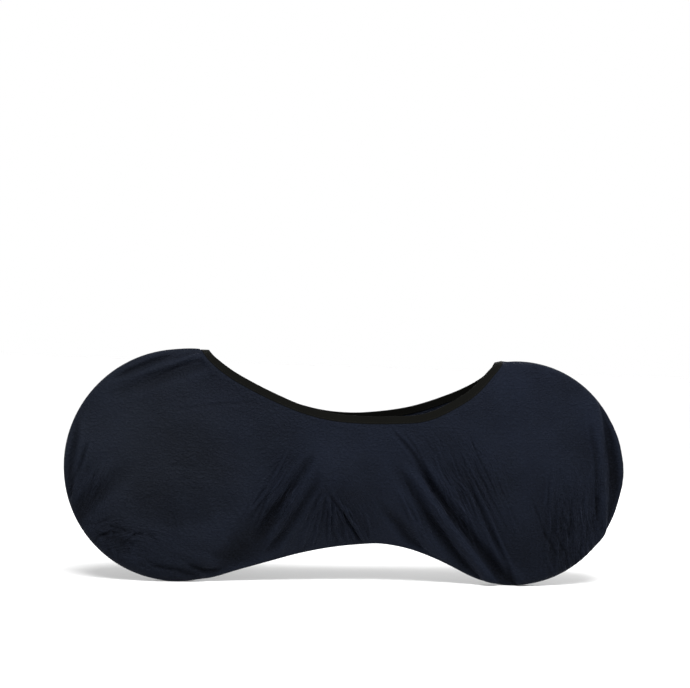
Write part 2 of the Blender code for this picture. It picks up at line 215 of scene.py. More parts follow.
# Folds, seen from the side. The bow is how far the middle stands to the left of the straight line.
# A trough has a depth below zero, and a ridge has one above it. Columns, in millimetres:
# x0, z0, x1, z1, bow, width0, width1, depth0, depth1.
FOLDS = {
    "left": (
        # from the opening down past the middle bulge to the rear lobe's foot
        (78, 490, 262, 270, 13, 4.5, 11, -2.2, -9),
        (160, 410, 610, -110, -12, 15, 21.5, -10.5, -25.5),
        (150, 372, 540, -80, -14, 13, 19, 4, 10),
        (100, 392, 472, -60, -10, 13.5, 20, -8, -23),
        (88, 330, 390, -36, -8, 12, 17, 2, 8),
        (66, 268, 300, 6, 2, 12, 18, -5, -16),
        (146, 176, 200, 120, 0, 6, 7, -2, -3),
        (326, 380, 556, -36, 6, 3.8, 5.8, 1.6, 6.4),
        (316, 372, 542, -36, 6, 6, 11, -1.6, -7.6),
        (216, 344, 346, 170, -10, 6, 8, -2, -3.6),
        (123, 490, 240, 310, 6, 4, 6, -1.8, -3),
        (232, 452, 268, 384, 0, 3.8, 4.5, 2, 2),
        (222, 466, 270, 408, 2, 3.6, 4, 1.8, 1.8),
        (206, 448, 242, 400, 1, 4, 4, -1.8, -1.8),
        (312, 430, 372, 312, -2, 5, 6, -1.6, -2.4),
        (332, 316, 392, 232, -1, 4.5, 5, 2, 2),
        (112, 314, 156, 260, 0, 4.5, 5.5, 2.2, 2.4),
        (66, 319, 122, 321, 1, 3.6, 3.6, -0.8, -0.8),
        (230, 285, 276, 284, 0, 4, 4.5, -3, -3),
        # from the bulge's peak down to the waist
        (-102, 318, 98, 66, 2, 3.4, 4.4, 2, 9),
        (-108, 312, 88, 60, 1, 3.8, 5.6, -2, -10.4),
        (14, 272, 76, 118, 5, 4.5, 5, 2, 3.4),
        (-106, 315, -16, 308, 2, 3.6, 3.6, -1.6, -1),
        (-100, 334, 46, 378, -3, 6, 8, -0.6, -0.6),
        (-84, 274, -48, 306, 0, 3.6, 3.6, 1.1, 1.1),
        (-52, 170, -12, 116, 0, 4.2, 5, 2.8, 4),
        (-56, 222, 2, 118, 3, 4, 5, 1.8, 3.8),
        (-104, 220, -148, 100, -4, 5, 6, 1.8, 3.6),
        (-178, 298, -112, 318, 6, 3.6, 3.6, -1.3, -1.3),
        # from the bulge's peak down and forward
        (-124, 410, -290, 110, -4, 10, 20, -5.6, -15),
        (-110, 342, -256, 76, 12, 8.5, 15, -4.8, -12),
        (-130, 370, -270, 96, 4, 9, 13, 2, 4),
        (-204, 378, -276, 222, -3, 3.6, 4.4, 2, 2.8),
        (-184, 370, -262, 212, -4, 3.6, 4.4, 1.4, 2.4),
        (-116, 290, -160, 156, -3, 4.5, 6, 2, 3),
        (-276, 312, -332, 170, 0, 4, 5, 1.8, 2.6),
        (-266, 280, -308, 162, 0, 4, 5, 1.6, 2.6),
        (-205, 265, -395, 0, 0, 46, 56, -6, -15),
        # the rear lobe's rim
        (762, 640, 836, 70, 29, 14, 18, -17, -30),
        (726, 600, 790, 110, 22, 13, 15, 4.4, 10),
        (740, 560, 780, 200, 8, 8, 8.5, -6, -9),
        (778, 430, 800, 170, 6, 5.5, 6, -2.2, -4),
        (698, 380, 726, 266, 2, 4, 4.5, 2, 2.6),
        (662, 320, 716, 90, 12, 4, 5, 2.2, 4.4),
        (638, 282, 694, 94, 4, 4.5, 5, 2, 4.2),
        (684, 322, 714, 190, 2, 4, 4.4, 2, 3.4),
        (606, 118, 656, 30, 0, 4.5, 5, 2.4, 4),
        (740, 180, 738, 86, 0, 4, 4.4, 2.6, 3.6),
        (776, 290, 800, 150, 0, 6.5, 6.5, -5, -7),
        (464, 286, 524, 144, 3, 4.5, 5, 1.6, 2.2),
        (606, 396, 674, 450, 0, 5, 5, 1.4, 1.6),
        # the front lobe's rim
        (-830, 490, -852, 236, -4, 10, 11, -12, -20),
        (-796, 420, -848, 214, -4, 6.5, 7, -8, -14),
        (-812, 400, -842, 220, -2, 5.5, 6, 4, 8),
        (-760, 340, -820, 210, -2, 4.5, 5, -3, -6),
        (-660, 360, -870, 130, -6, 20, 30, -4, -13),
        (-752, 324, -810, 176, -3, 4.5, 5, 2.6, 4),
        (-737, 306, -782, 200, 0, 4, 4.6, 2.4, 3.6),
        (-770, 322, -800, 230, 0, 4.5, 4.5, -2.6, -3.6),
        (-683, 258, -695, 208, 0, 3.6, 3.6, 2.6, 2.4),
        (-664, 268, -686, 204, 0, 3.6, 4, 2.8, 2.4),
        # swirls below the front lobe's middle
        (-812, 168, -708, 187, -4, 4.5, 4.5, -3.6, -2.6),
        (-774, 96, -676, 134, 30, 4.8, 5, -6, -5),
        (-690, 104, -570, 98, 44, 4.8, 4.8, -5.6, -5.6),
        (-730, 120, -652, 76, 10, 6, 7, -3.6, -4),
        (-634, 248, -596, 257, 0, 3.6, 3.6, -2.6, -2),
        (-557, 150, -514, 128, 0, 4.2, 4.6, -2.6, -2.6),
        (-620, 62, -440, 16, -3, 7, 8, -3.6, -9),
        (-560, 104, -330, 40, -4, 12, 14, 3, 4.5),
        (-500, 62, -340, 26, -12, 8.5, 9, -8, -12),
        (-700, 150, -400, 120, -30, 60, 60, 5, 6),
        # over the front lobe's middle
        (-564, 348, -470, 350, 0, 3.6, 3.6, -2.8, -2.2),
        (-530, 313, -492, 311, 0, 4.5, 4.5, -3, -3),
        (-508, 282, -452, 278, 0, 4, 4, -2, -2),
        # the front lobe's top, pulled to the opening
        (-760, 584, -450, 724, 6, 8, 8, -4, -12),
        (-700, 600, -410, 712, 10, 6.5, 7, -2, -12),
        (-680, 596, -410, 696, 4, 6, 7, 2, 7),
        (-780, 540, -400, 686, -6, 16, 18, -2, -9),
        (-570, 506, -260, 550, 2, 6, 6, -1.2, -2),
        (-459, 662, -445, 600, 0, 5, 6, -3, -2),
    ),
    "right": (
        # from the bulge's peak down to the waist and to the rear lobe's foot
        (326, 242, 462, 8, 6, 12, 17, -7, -16),
        (296, 236, 376, 22, 4, 11, 16, -6, -15),
        (226, 246, 88, 98, 6, 10, 15, -5, -12),
        (250, 230, 174, 84, 0, 4, 6, 2.4, 5),
        (276, 228, 262, 64, 0, 4, 5, 2.2, 5),
        (386, 258, 542, 12, 6, 5, 8, 2.6, 5),
        (400, 300, 624, 54, 10, 5, 6, -2.2, -4),
        # from the opening down past the round bulge
        (66, 480, -156, 72, -10, 12, 18, -5, -14),
        (24, 470, -216, 62, -12, 12, 16, 2, 7),
        (-26, 460, -296, 52, -10, 12, 19, -5, -13),
        (-100, 410, -334, 104, -8, 5, 7, 2, 4.4),
        (80, 216, 8, 110, 0, 5, 7, 2.4, 5),
        (190, 486, 232, 352, 4, 4, 5.5, -2.2, -2.6),
        (340, 450, 330, 322, -6, 5, 6, -2, -3),
        (246, 318, 134, 346, -4, 4, 4, -2.4, -1.8),
        # the lobes' rims
        (-810, 520, -840, 180, -20, 8, 10, -5, -11),
        (-758, 450, -802, 210, -6, 5, 6, -2.4, -4),
        (810, 500, 844, 214, 12, 7.5, 8.5, -4.6, -8.6),
        (740, 410, 792, 180, 8, 5, 5.5, 2.2, 4),
        (700, 340, 728, 112, 8, 4.5, 5.5, 2.2, 4),
        (-660, 310, -722, 102, -6, 4.5, 6, 2.2, 4.2),
        (-706, 142, -604, 118, 8, 4.5, 5, -3.6, -3),
        (-564, 128, -474, 24, 4, 6, 8, -2.8, -6.2),
        # over the lobes' middles, and the front one's top
        (-564, 352, -474, 346, 0, 3.6, 3.6, -2.6, -2.2),
        (476, 238, 544, 212, 0, 5, 5, -2.8, -2.8),
        (520, 220, 562, 104, 0, 5, 6, 2.6, 4.2),
        (-648, 638, -516, 688, 4, 7, 7.5, -4.6, -6.2),
        (-606, 596, -476, 688, 8, 8, 9, -5, -7.6),
    ),
}

# Bunches of fine wrinkles side by side, spread this far apart in all at each end. Columns, in
# millimetres: x0, z0, x1, z1, spread0, spread1, width, depth. The last one is their count.
BUNCHES = {
    "left": (
        (680, 400, 690, 20, 150, 180, 4, 2.8, 30),
        (740, 260, 640, 20, 120, 140, 4, 2.6, 10),
        (640, 270, 740, 20, 150, 130, 4, -3, 12),
        (785, 480, 800, 130, 60, 70, 4.4, -5, 14),
        (250, 450, 440, 60, 100, 150, 3.7, 2.8, 15),
        (150, 360, 380, 40, 130, 190, 3.8, 2.8, 12),
        (300, 460, 500, 80, 130, 130, 3.6, -2.2, 9),
        (-180, 370, -298, 130, 90, 120, 3.6, 3.4, 20),
        (-92, 300, -50, 90, 30, 250, 3.6, 3.6, 22),
        (-762, 310, -810, 180, 80, 70, 3.6, 2.2, 11),
        (-600, 180, -560, 110, 260, 280, 4, -1.6, 14),
        (-800, 150, -620, 100, 100, 80, 4, -3, 12),
        (-720, 180, -690, 80, 120, 120, 4.2, 2, 8),
        (-700, 100, -500, 20, 60, 50, 4.5, -2.2, 8),
        (-660, 600, -480, 680, 60, 40, 4, -1.2, 5),
        (-420, 300, -300, 120, 120, 140, 4.5, 1.2, 8),
    ),
    "right": (
        (310, 225, 330, 45, 110, 280, 3.8, 2.6, 22),
        (670, 290, 690, 70, 130, 130, 3.8, 2.4, 18),
        (10, 400, -210, 90, 130, 200, 3.8, 2.2, 20),
        (-740, 330, -805, 180, 90, 80, 3.8, 2.2, 12),
        (-640, 170, -590, 80, 240, 220, 4, -2, 14),
        (-620, 600, -480, 680, 60, 40, 4, -2, 7),
        (300, 450, 450, 120, 100, 130, 4, 1.6, 10),
    ),
}
BUNCH_REACH = (0.14, 0.42)  # half of a wrinkle's length, as shares of its bunch's
BUNCH_SWERVE = 0.045  # how far its ends stray, as a share of the bunch's spread
BUNCH_PLACE = (0.2, 0.8)  # where a wrinkle lies in its share of the bunch's spread
BUNCH_MIDDLE = (0.22, 0.78)  # where its middle is along the bunch
BUNCH_DEPTH = (0.5, 1.3)  # its depth and width, as shares of the bunch's
BUNCH_WIDTH = (0.85, 1.3)
BUNCH_BOW = 0.003
SHOULDER = 0.3  # how high the cloth stands beside a fold, as a share of its depth
SHOULDER_AT = 1.7  # and how far from its middle, in fold widths
SHOULDER_WIDTH = 0.8
FOLD_ENDS = 0.22  # the share of a fold's length over which it fades out at each end
WANDER = 0.0020  # how far a fold wanders from its line
WANDER_LENGTH = 0.1  # a fold shorter than this wanders less
WANDER_WAVES = ((4.1, 1.0), (11.3, 0.5))  # radians along the fold, and share
DEPTH_WAVES = ((9.0, 0.14), (23.0, 0.08))  # the same for its depth

# Soft unevenness all over a panel: waves of this length and height, and how many of them.
SWELLS = (
    (0.190, 0.0011, 9),
    (0.085, 0.0005, 12),
    (0.042, 0.00022, 16),
)
# Places that the fine wrinkles fan out from, and the stretch of cloth that has them. Each group's
# stretches lie apart, so that a point has one fan of a group. Columns, in metres: form, from_x,
# from_z, x, z, reach_x, reach_z, strength.
RAYS, RINGS = 0, 1
FANS = {
    "left": (
        (
            (RAYS, -0.03, 0.57, -0.215, 0.250, 0.070, 0.120, 1.0),
            (RAYS, 0.60, 2.00, 0.715, 0.190, 0.120, 0.170, 1.0),
            (RAYS, -0.50, 1.00, -0.790, 0.270, 0.070, 0.130, 0.8),
            (RINGS, -0.50, -0.20, -0.520, 0.320, 0.110, 0.070, 0.25),
        ),
        (
            (RAYS, -0.12, 0.40, -0.020, 0.190, 0.110, 0.100, 1.0),
            (RAYS, 0.80, -0.36, 0.330, 0.270, 0.130, 0.160, 0.9),
            (RINGS, -0.66, -0.06, -0.680, 0.120, 0.150, 0.070, 0.5),
        ),
    ),
    "right": (
        (
            (RAYS, 0.29, 0.32, 0.300, 0.150, 0.170, 0.110, 1.0),
            (RAYS, -0.45, 2.00, -0.740, 0.220, 0.110, 0.170, 0.9),
            (RINGS, 0.55, -0.30, 0.540, 0.330, 0.110, 0.070, 0.25),
        ),
        (
            (RAYS, 0.20, 0.70, -0.090, 0.240, 0.140, 0.160, 1.0),
            (RAYS, 0.55, 2.00, 0.720, 0.200, 0.110, 0.160, 0.9),
            (RINGS, -0.60, -0.08, -0.600, 0.110, 0.140, 0.070, 0.5),
        ),
    ),
}
FADED_PLACES = {"left": (-0.62, 0.40, 0.34), "right": (0.60, 0.40, 0.34)}  # x, z and reach
# Painted shade, darker low round the lobes and at their rims, and painted light at the front lobe's
# top where the share is below zero: x, z, reach and share.
PAINTED_SHADE_PLACES = (
    (0.600, 0.080, 0.190, 1.0),
    (0.870, 0.380, 0.110, 0.6),
    (-0.540, 0.090, 0.170, 0.5),
    (-0.870, 0.230, 0.070, 0.3),
    (-0.290, 0.120, 0.090, 0.2),
    (-0.780, 0.420, 0.130, -0.8),
)
PAINTED_FOLD_SHADE_DEPTH = 0.012  # a fold this deep gets the darkest painted shade
PAINTED_FOLD_SHADE_POWER = 0.75  # under 1, so that small folds show more than their share
PAINTED_RIDGE_LIGHT = 0.3  # a ridge gets painted light of this share of that at the most
FAN_FIELDS = ("fan_a", "fan_b")
INSIDE_RATIO = 0.62  # of the panel's triangles that stay when its inside is made coarser
EDGE_HEIGHT = 0.002  # folds stay under this height at a sewn edge
EDGE_SLOPE = 0.42  # and may be this much higher for each metre away from it
SEAM_CLEAR = (0.004, 0.024)  # folds fade out between these distances from the seam
PUCKER_PITCHES = (0.021, 0.031, 0.047)
PUCKER_REACH = 0.016
PUCKER_FADE = 2
PUCKER_HEIGHT = 0.00035  # at the seam
BAND_PUCKER_HEIGHT = 0.00025
MERGE_DISTANCE = 1e-6  # points that are no farther apart than this are one

# The folded elastic and its stitches.
BAND_STATIONS = 560
BAND_SEED = SEED + 10
BAND_WAVE = 0.00018  # its waviness at its lower edge
ROUND_STEPS = 5  # points round the band's fold
RIBS = 5  # shallow ribs along the elastic
RIB_DEPTH = 0.00012
RIB_FADE = 6  # how quickly the ribs rise from the band's two edges
FACE_POINTS = 14
HEM_ROUNDING = 0.35  # of the band's lower edge, as a share of its wall
HEM_SLOPE = 1.2
STITCHES_UP = 0.0035  # from the band's lower edge
STITCH_SHARE = 0.78  # of a stitch and the space after it
THREAD_RISE = 0.15  # how far the thread's middle stands out, as a share of its thickness

# The finishes. Scales are in shapes to the metre, squash is how much closer they lie the other way,
# and a bump is its depth in metres and its strength.
PATCH_SCALE = 5.0
MOTTLE_SCALE, MOTTLE_SQUASH = 170.0, 1.4
WRINKLE_SCALE, WRINKLE_SQUASH = 50.0, 1.5
STREAK_SCALES = (26.0, 170.0)
COURSE_TO_WALE = 0.8  # the height of a loop as a share of its width
# What the faded colour's share and the cloth's painted shade, which also holds the mottle, are made
# up of.
FADE_PLACE, FADE_PATCH, FADE_MOTTLE, FADE_STREAK, FADE_FROM = 0.60, 0.7, 1.2, 0.5, 1.05
# The painted shade and light from the folds, the mottle, the painted shade at the listed places,
# and where the shade starts.
PAINTED_FOLD_SHADE, SHADE_MOTTLE, PAINTED_PLACE_SHADE, SHADE_FROM = 0.9, 1.8, 0.36, 0.33
# Painted shade along the fans' wrinkles and along the creased lines, and the mean that is given
# back for it.
PAINTED_FAN_SHADE, PAINTED_LINE_SHADE, LINE_MEAN = 0.30, 0.26, 0.035
CRUMPLE_SHARPNESS, LINE_SHARPNESS = 2.5, 10.0
LEAST_CRUMPLE = 0.2
ROUGH_KNIT, ROUGH_PATCH, ROUGH_MOTTLE = 0.62, 0.10, 0.12
CRUMPLE_BUMP = (0.0040, 0.9)
STREAK_BUMP = (0.0007, 0.45)
MOTTLE_BUMP = (0.0007, 0.6)
FAN_BUMP = (0.0060, 0.9)
LOOP_BUMP = (0.00012, 0.6)
FAN_SCALES = (105.0, 7.0, 0.0)  # across a fan's wrinkles and along them
FAN_SWAY = (0.030, 0.012, 0.0)
FAN_SWAY_SCALE = 14.0
RIB_PITCHES = (0.0011, 0.0019)  # of the elastic, across and along
LINT_SCALE = 420.0
WEAR_SCALE = 18.0
RIB_BUMP = (0.00022, 0.7)
HIGH_ACROSS, HIGH_ALONG, HIGH_LINT = 0.7, 0.5, 0.3
LIGHT_RIB, LIGHT_LINT, LIGHT_WEAR = 0.15, 0.35, 0.30
ROUGH_ELASTIC, ROUGH_LINT = 0.78, 0.14
PLY_PITCH = 0.0006
PLY_DEPTH = 0.0001
ROUGH_THREAD, ROUGH_PLY = 0.55, 0.10
ELASTIC_LIGHTEST = 2.1  # as a share of its colour, as are the next two
THREAD_LIGHTEST = 1.8
FLOOR_DARKEST = 0.98
FLOOR_SCALE = 3.0
ROUGH_FLOOR, ROUGH_TONE = 0.85, 0.05

# The camera, worked out from the cover's outline and its opening's edge.
CAMERA_PLACE = (-1.200, -5.644, 0.750)
CAMERA_TURN = 11.67  # degrees from +Y towards +X
CAMERA_TILT = -0.25
CAMERA_ROLL = 2.24
CAMERA_REACH = 200  # how far it sees
FOCAL_PIXELS = 1902.8
PICTURE_WIDTH = 690

# The stage. The bank is a far row of studio lights, so that the floor is evenly pale.
FLOOR_HALF = 40.0
FLOOR_PARTS = 8
LIGHTS = {
    "bank": ("SUN", (-0.8, -4.2, 5.4), (0, 0, 0), {"energy": 3.0, "angle": math.radians(24)}),
    "top": ("AREA", (0.4, -1.5, 2.7), (0, 0, 0.35), {"size": 1.6, "energy": 60}),
    "back": ("AREA", (1.6, 3.4, 2.6), (0, 0, 0.35), {"size": 2.4, "energy": 110}),
}
WORLD_LIGHT = (1.0, 0.50)  # at the horizon and overhead
WALL_TOP = (0.22, 0.50)  # the heights, of a sphere of radius 1, between which it changes


class CoverSizes(bpy.types.PropertyGroup):
    """Sizes of the cover that a maker would change."""

    cloth: FloatProperty(
        name="Cloth", description="Thickness of the knit", default=0.0009, unit="LENGTH"
    )
    band_width: FloatProperty(
        name="Band width", description="Height of the folded elastic", default=0.024, unit="LENGTH"
    )
    allowance: FloatProperty(
        name="Seam allowance", description="Cloth turned in at the seam", default=0.007,
        unit="LENGTH",
    )
    fold_depth: FloatProperty(
        name="Fold depth", description="Depth of the folds, as a share of the worn-in cloth's",
        default=1.0, subtype="FACTOR",
    )
    wrinkle_depth: FloatProperty(
        name="Wrinkle depth", description="The same for the bunches of fine wrinkles",
        default=1.0, subtype="FACTOR",
    )
    cut_stretch: FloatProperty(
        name="Stretch", description="How much longer the cloth is in use than as it was cut",
        default=1.12, subtype="FACTOR",
    )
    stitch: FloatProperty(
        name="Stitch", description="Length of a stitch and the space after it", default=0.0036,
        unit="LENGTH",
    )
    thread: FloatProperty(
        name="Thread", description="Thickness of the thread", default=0.00045, unit="LENGTH"
    )
    wale: FloatProperty(
        name="Wale", description="Width of one column of knit loops", default=0.0009, unit="LENGTH"
    )


class CoverColours(bpy.types.PropertyGroup):
    """Colours of the cover and the floor, as linear light."""

    knit: FloatVectorProperty(
        name="Knit", description="The cloth's dark navy", default=(0.0045, 0.0062, 0.0117),
        subtype="COLOR",
    )
    knit_faded: FloatVectorProperty(
        name="Knit, faded", description="Where the cloth is greyer and a little lighter",
        default=(0.0057, 0.0069, 0.0099), subtype="COLOR",
    )
    elastic: FloatVectorProperty(
        name="Elastic", description="The band's black", default=(0.0017, 0.0017, 0.0014),
        subtype="COLOR",
    )
    thread: FloatVectorProperty(
        name="Thread", description="The sewing thread", default=(0.0040, 0.0040, 0.0037),
        subtype="COLOR",
    )
    floor: FloatVectorProperty(
        name="Floor", description="The pale floor", default=(0.79, 0.79, 0.79), subtype="COLOR"
    )


def cover_sizes():
    return bpy.context.scene.cover_sizes


def cover_colours():
    return bpy.context.scene.cover_colours


def smoothstep(low, high, value):
    t = np.clip((value - low) / (high - low), 0.0, 1.0)
    return t * t * (3 - 2 * t)


def from_mm(rows, lengths):
    """A table's rows, of which the first columns, as many as lengths, are in millimetres."""
    return [(*(round(mm / 1000, 6) for mm in row[:lengths]), *row[lengths:]) for row in rows]


def unit(vectors):
    return vectors / np.linalg.norm(vectors, axis=-1, keepdims=True)


def hermite(t, start, leave, end, arrive):
    """A curve from start to end that leaves and arrives along the two given vectors."""
    return (
        (2 * t**3 - 3 * t**2 + 1) * start
        + (t**3 - 2 * t**2 + t) * leave
        + (3 * t**2 - 2 * t**3) * end
        + (t**3 - t**2) * arrive
    )


def smooth_path(rows, places):
    """A smooth path through the rows, whose first columns, as many as places, are positions."""
    rows = np.array(rows, float)
    span = np.linalg.norm(np.diff(rows[:, :places], axis=0), axis=1)[:, None]
    slope = np.diff(rows, axis=0) / span
    between = (slope[:-1] * span[1:] + slope[1:] * span[:-1]) / (span[:-1] + span[1:])
    tangent = np.vstack([slope[:1], between, slope[-1:]])
    t = np.linspace(0, 1, PATH_STEPS, endpoint=False)[None, :, None]
    leave = (tangent[:-1] * span)[:, None]
    arrive = (tangent[1:] * span)[:, None]
    curve = hermite(t, rows[:-1, None], leave, rows[1:, None], arrive)
    return np.vstack([curve.reshape(-1, rows.shape[1]), rows[-1:]])


def run_along(path, places):
    """How far each row of a path is from its start."""
    steps = np.linalg.norm(np.diff(path[:, :places], axis=0), axis=1)
    return np.concatenate([[0], np.cumsum(steps)])


def at_shares(path, places, shares):
    """The path's rows at these shares of its length."""
    run = run_along(path, places)
    return np.stack([np.interp(shares * run[-1], run, column) for column in path.T], axis=-1)


def resample(points, where):
    """The grid's first axis at these places, counted in its own steps, on smooth curves."""
    low = np.minimum(where.astype(int), len(points) - 2)
    slope = np.gradient(points, axis=0)
    t = (where - low).reshape(-1, *[1] * (points.ndim - 1))
    return hermite(t, points[low], slope[low], points[low + 1], slope[low + 1])


def out_sign(side):
    return -1 if side == "left" else 1


def lobe_arc(centre_x, degrees):
    """The seam round a lobe, with the front one's rise to the opening."""
    angles = np.radians(np.linspace(*degrees, ARC_POINTS))
    rise = FRONT_RISE * (1 - smoothstep(*np.radians(RISE_FADE), angles))
    radius = LOBE_RADIUS - CLOTH_IN_BAND / 2 + rise
    return np.stack(
        [centre_x + radius * np.cos(angles), LOBE_RADIUS + radius * np.sin(angles)], axis=1
    )


def seam_path():
    """The seam in the middle plane, from the opening's front end round to its rear end."""
    front = lobe_arc(-LOBE_SPACING / 2, FRONT_ARC)
    rear = lobe_arc(LOBE_SPACING / 2, REAR_ARC)
    waist = smooth_path([*front[-2:], *from_mm(WAIST, 2), *rear[:2]], 2)
    return np.vstack([front[:-2], waist, rear[2:]])


def station_shares(stations):
    """Each station's share of the opening's edge, and its share of the seam."""
    table = smooth_path(SHARES, 1)
    station = np.linspace(0, 1, stations + 1)
    return tuple(np.interp(station, table[:, 0], table[:, column]) for column in (1, 2))


def opening_frames(side, stations):
    """For each station of the opening's edge: its place, the way down the cloth and out of it."""
    sign = out_sign(side)
    opening_share, _ = station_shares(stations)
    path = smooth_path(from_mm(OPENING[side], 3), 3)
    x, z, half_width, lean = at_shares(path, 3, opening_share).T
    edge = np.stack([x, sign * half_width, z], axis=1)
    tangent = unit(np.gradient(edge, axis=0))
    tangent[0] = (0, sign, 0)
    tangent[-1] = (0, -sign, 0)
    forward = REAR_END_SLOPE * smoothstep(*REAR_END_SPAN, x)
    up = unit(np.stack([-forward, 0 * x, 1 + 0 * x], axis=1))
    lean = np.radians(lean)[:, None]
    out = np.sin(lean) * up + np.cos(lean) * np.array([0, sign, 0])
    out = unit(out - (out * tangent).sum(axis=1, keepdims=True) * tangent)
    down = sign * np.cross(out, tangent)
    return edge, down, out


def bar_half_width(x, z, bar):
    """How far out a round-ended bar holds the cloth at each place, and 0 beyond its sides."""
    x0, z0, x1, z1, half0, half1, radius = bar
    length2 = max((x1 - x0) ** 2 + (z1 - z0) ** 2, 1e-9)
    t = np.clip(((x - x0) * (x1 - x0) + (z - z0) * (z1 - z0)) / length2, 0, 1)
    away = np.hypot(x - x0 - t * (x1 - x0), z - z0 - t * (z1 - z0))
    crown = min(radius, WIDEST_ROUNDING)
    past = np.clip(away - radius + crown, 0, crown)
    fall = crown - np.sqrt(crown**2 - past**2)
    return np.where(away < radius, half0 + t * (half1 - half0) - fall, 0)


def rim_half_width(x, z):
    """The same for both lobes' rims, which are rings of round section."""
    half = np.zeros_like(x)
    for centre_x in (-LOBE_SPACING / 2, LOBE_SPACING / 2):
        off = np.hypot(x - centre_x, z - LOBE_RADIUS) - (LOBE_RADIUS - RIM_HALF)
        half = np.maximum(half, np.sqrt(np.maximum(RIM_HALF**2 - off**2, 0)))
    return half


def even_out(points, free):
    """Moves each free point to its neighbours' middle."""
    around = points[:-2, 1:-1] + points[2:, 1:-1] + points[1:-1, :-2] + points[1:-1, 2:]
    points[1:-1, 1:-1][free] = around[free] / 4


def stretch(points, held, side, passes):
    """Pulls the sheet taut over its supports, which no point may get inside."""
    sign = out_sign(side)
    bars = from_mm(SUPPORTS[side], 7)
    free = ~held[1:-1, 1:-1]
    for _ in range(passes):
        even_out(points, free)
        x, z = points[..., 0], points[..., 2]
        half = rim_half_width(x, z)
        for bar in bars:
            half = np.maximum(half, bar_half_width(x, z, bar))
        carried = sign * np.maximum(sign * points[..., 1], half)
        points[..., 1] = np.where(held, points[..., 1], carried)
    return points


def seam_root(foot, foot_depth, stations):
    """Each station's place on the seam. The first and the last are the band's lower corners."""
    seam = seam_path()
    margin = foot_depth / run_along(seam, 2)[-1]
    _, seam_share = station_shares(stations)
    x, z = at_shares(seam, 2, margin + seam_share * (1 - 2 * margin)).T
    root = np.stack([x, 0 * x, z], axis=1)
    root[[0, -1]] = foot[[0, -1]]
    return root


def row_places(crest_parts, open_parts, band_parts):
    """The rows' places, counted in the coarsest grid's rows."""
    ends = (0, LAST_CREST, FOOT_ROW, TOP_ROW)
    parts = (crest_parts, open_parts, band_parts)
    runs = [np.linspace(a, b, (b - a) * n + 1)[1:] for a, b, n in zip(ends, ends[1:], parts)]
    return np.concatenate([[0], *runs])


def laid_out(side, stations, places):
    """The panel's grid before it is pulled taut, its held points, and its seam's frames."""
    sizes = cover_sizes()
    edge, down, _ = opening_frames(side, stations)
    foot_depth = sizes.band_width + FOOT_PAST_BAND
    foot = edge + down * foot_depth
    root = seam_root(foot, foot_depth, stations)
    run = unit(np.gradient(root, axis=0))
    inward = np.stack([-run[:, 2], 0 * run[:, 0], run[:, 0]], axis=1)
    reach = np.clip(np.linalg.norm(foot - root, axis=1) / CREST_REACH, 0, 1)
    outward = np.array([0, out_sign(side), 0])

    def crest_at(degrees):
        bend = np.radians(degrees) * reach[:, None]
        return root + RIM_HALF * (inward * (1 - np.cos(bend)) + outward * np.sin(bend))

    crest = crest_at(CREST_ANGLES[-1])
    pull = np.linalg.norm(foot - crest, axis=1, keepdims=True)
    rows = []
    for place in places:
        if place <= LAST_CREST:
            rows.append(crest_at(np.interp(place, range(LAST_CREST + 1), CREST_ANGLES)))
        elif place <= FOOT_ROW:
            t = (place - LAST_CREST) / (FOOT_ROW - LAST_CREST)
            rows.append(hermite(t, crest, inward * pull, foot, -down * pull))
        else:
            depth = np.interp(place, (FOOT_ROW, TOP_ROW), (foot_depth, BAND_WALL + 2 * GAP))
            rows.append(edge + down * depth)

    lobe_x = np.sign(root[:, 0]) * LOBE_SPACING / 2
    off_rim = np.hypot(root[:, 0] - lobe_x, root[:, 2] - LOBE_RADIUS) - LOBE_RADIUS
    on_rim = (np.abs(off_rim + CLOTH_IN_BAND / 2) < OFF_RIM) & (reach == 1)
    held = on_rim[:, None] & (places <= LAST_CREST)
    held |= (places == 0) | (places >= FOOT_ROW)
    held[[0, -1]] = True
    return np.stack(rows, axis=1), held, (root, inward, reach)


def taut_panel(side):
    """The panel's middle surface pulled taut, on ever finer grids, with its seam's frames."""
    points = None
    for stations, crest_parts, open_parts, band_parts, passes in LEVELS:
        places = row_places(crest_parts, open_parts, band_parts)
        laid, held, seam = laid_out(side, stations, places)
        if points is None:
            points = laid
        else:
            along = np.linspace(0, len(points) - 1, stations + 1)
            across = np.interp(places, before, range(len(before)))
            finer = resample(resample(points, along).swapaxes(0, 1), across).swapaxes(0, 1)
            points = np.where(held[..., None], laid, finer)
        points = stretch(points, held, side, passes)
        before = places
    for _ in range(SOFT_PASSES):
        even_out(points, ~held[1:-1, 1:-1])
    return points, places, seam


def fold_profile(off):
    """A fold's height across it, off being the distance from its middle in fold widths."""
    beside = (np.abs(off) - SHOULDER_AT) / SHOULDER_WIDTH
    return np.exp(-(off**2)) - SHOULDER * np.exp(-(beside**2))


def uneven(t, waves, phases, start):
    """Waves along a fold, t being the share of its length, added to a start."""
    for (rate, share), phase in zip(waves, phases):
        start = start + share * np.sin(rate * t + phase)
    return start


def fold_height(x, z, fold, random):
    """One fold's height at each place of the panel."""
    x0, z0, x1, z1, bow, width0, width1, depth0, depth1 = fold
    length = math.hypot(x1 - x0, z1 - z0)
    t = ((x - x0) * (x1 - x0) + (z - z0) * (z1 - z0)) / length**2
    left = ((z - z0) * (x1 - x0) - (x - x0) * (z1 - z0)) / length
    width = width0 + (width1 - width0) * np.clip(t, 0, 1)
    phase = random.uniform(0, 2 * np.pi, 4)
    wander = WANDER * uneven(t, WANDER_WAVES, phase[:2], 0) * min(1, length / WANDER_LENGTH)
    off = (left - bow * 4 * t * (1 - t) + wander) / width
    depth = depth0 + (depth1 - depth0) * np.clip(t, 0, 1)
    depth = depth * uneven(t, DEPTH_WAVES, phase[2:], 1)
    ends = smoothstep(0, FOLD_ENDS, t) * (1 - smoothstep(1 - FOLD_ENDS, 1, t))
    return depth * ends * fold_profile(off)


